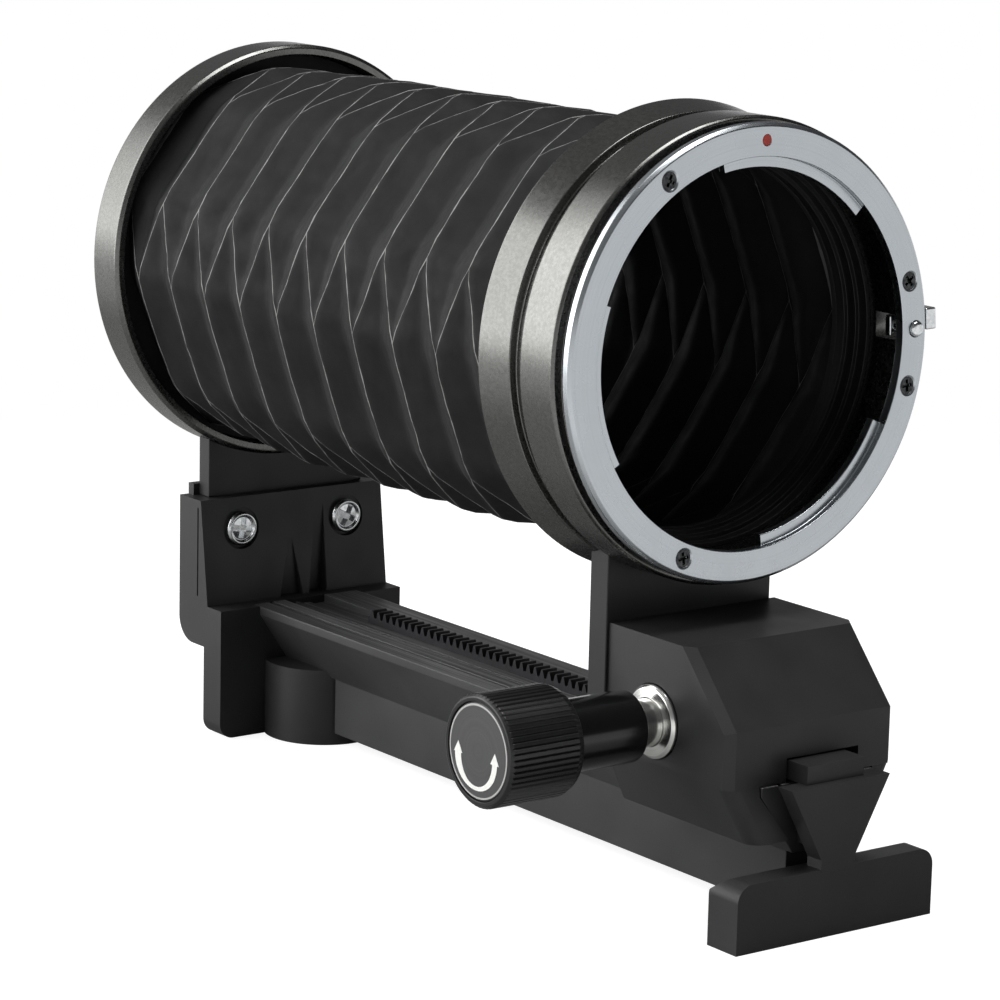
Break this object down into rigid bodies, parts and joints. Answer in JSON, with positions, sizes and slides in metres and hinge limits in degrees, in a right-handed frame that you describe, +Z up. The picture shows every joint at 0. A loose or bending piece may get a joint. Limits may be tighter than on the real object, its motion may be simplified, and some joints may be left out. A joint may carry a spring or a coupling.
{
  "type": "macro bellows unit",
  "caption": "Focusing bellows for close-up photography: pleated tube between a camera bayonet and a lens mount, on a dovetail rail with a rack and pinion knob.",
  "frame": {"origin": "centre of the camera flange's back face, on the optical axis", "axes": "+X along the optical axis from the camera to the lens, +Z up, -Y the side of the focusing knob"},
  "size_m": [0.1467, 0.0804, 0.1115],
  "materials": {
    "black_abs": "satin moulded ABS",
    "black_nylon": "moulded nylon",
    "black_painted_metal": "satin black paint",
    "dark_anodised_aluminium": "satin dark anodised",
    "flat_black_aluminium": "matt black anodised",
    "black_card_frame": "matt black laminate",
    "black_leatherette": "matt coated cloth with worn fold lines",
    "satin_chrome": "satin",
    "nickel_steel": "nickel plated",
    "bright_steel": "turned and polished",
    "brass": "machined",
    "black_anodised_aluminium": "satin black anodised",
    "dark_knob_face": "satin with white printed ring and arrow",
    "red_enamel": "enamel"
  },
  "bodies": {
    "base": {"rail": "black_abs", "rack": "black_nylon", "rear_foot": "black_abs", "front_foot": "black_abs", "tripod_bush": "brass", "rear_standard_plate": "black_painted_metal", "bracket_screws": "nickel_steel", "rear_ring": "dark_anodised_aluminium", "camera_bayonet": "satin_chrome", "bayonet_screws": "nickel_steel", "bellows_rear_frame": "black_card_frame", "bellows": "black_leatherette"},
    "carriage": {"carriage_housing": "black_abs", "front_standard_plate": "black_painted_metal", "front_plate_screws": "nickel_steel", "lens_barrel": "dark_anodised_aluminium", "light_baffle": "flat_black_aluminium", "lens_mount_ring": "satin_chrome", "mount_screws": "nickel_steel", "index_dot": "red_enamel", "bellows_front_frame": "black_card_frame", "spindle_bush": "bright_steel", "far_bush": "brass"},
    "focus_drive": {"focus_spindle": "bright_steel", "pinion": "brass", "drive_sleeve": "black_anodised_aluminium", "circlip": "nickel_steel"},
    "lock_knob": {"focus_knob": "black_anodised_aluminium", "knob_face": "dark_knob_face"},
    "lens_release": {"release_lever": "bright_steel", "lock_pin": "bright_steel"}
  },
  "joints": [
    {"name": "carriage_slide", "type": "slide", "parent": "base", "child": "carriage", "axis": [1, 0, 0], "range_m": [-0.08, 0], "deforming": ["bellows"]},
    {"name": "focus_turn", "type": "hinge", "parent": "carriage", "child": "focus_drive", "pos_m": [0.12, 0, -0.04896], "axis": [0, 1, 0], "range_deg": [-812, 5]},
    {"name": "lock_turn", "type": "hinge", "parent": "focus_drive", "child": "lock_knob", "pos_m": [0.12, -0.036, -0.04896], "axis": [0, 1, 0], "range_deg": [0, 120]},
    {"name": "release_press", "type": "slide", "parent": "carriage", "child": "lens_release", "axis": [1, 0, 0], "range_m": [-0.0015, 0], "stiffness_N_per_m": 500, "springref_m": 0.0006}
  ],
  "couplings": [
    {"joint": "focus_turn", "follows": "carriage_slide", "rad_per_m": 176.04}
  ]
}
